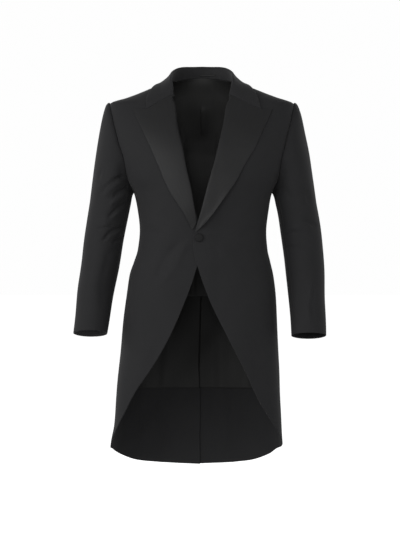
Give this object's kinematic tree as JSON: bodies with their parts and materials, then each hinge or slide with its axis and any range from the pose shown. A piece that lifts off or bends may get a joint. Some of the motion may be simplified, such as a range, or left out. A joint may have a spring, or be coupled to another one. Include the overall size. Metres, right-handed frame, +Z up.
{
  "type": "cutaway morning coat",
  "caption": "Black single-breasted cutaway morning coat, filled out as worn: peak lapels, one closed button, long tails with a centre back vent, open neck, hem and cuffs.",
  "frame": {"origin": "base of the wearer's neck, between the shoulders", "axes": "+Z up, -Y towards the front, +X towards the wearer's left"},
  "size_m": [0.6606, 0.2975, 1.0799],
  "materials": {
    "wool": "matte wool",
    "facing": "soft sheen",
    "lining": "satin",
    "button": "cloth covered"
  },
  "bodies": {
    "root": {"forepart_left": "wool", "forepart_right": "wool", "side_body_left": "wool", "side_body_right": "wool", "back_left": "wool", "back_right": "wool", "skirt_left": "wool", "skirt_right": "wool", "lapel_left": "facing", "lapel_right": "facing", "top_sleeve_left": "wool", "top_sleeve_right": "wool", "under_sleeve_left": "wool", "under_sleeve_right": "wool", "collar_stand": "wool", "collar_fall": "wool", "lining_tail_left": "lining", "lining_tail_right": "lining", "button_front": "button", "button_back_left": "button", "button_back_right": "button", "lining_back": "lining", "cuff_button_left_1": "button", "cuff_button_left_2": "button", "cuff_button_left_3": "button", "cuff_button_left_4": "button", "cuff_button_right_1": "button", "cuff_button_right_2": "button", "cuff_button_right_3": "button", "cuff_button_right_4": "button"}
  },
  "joints": []
}
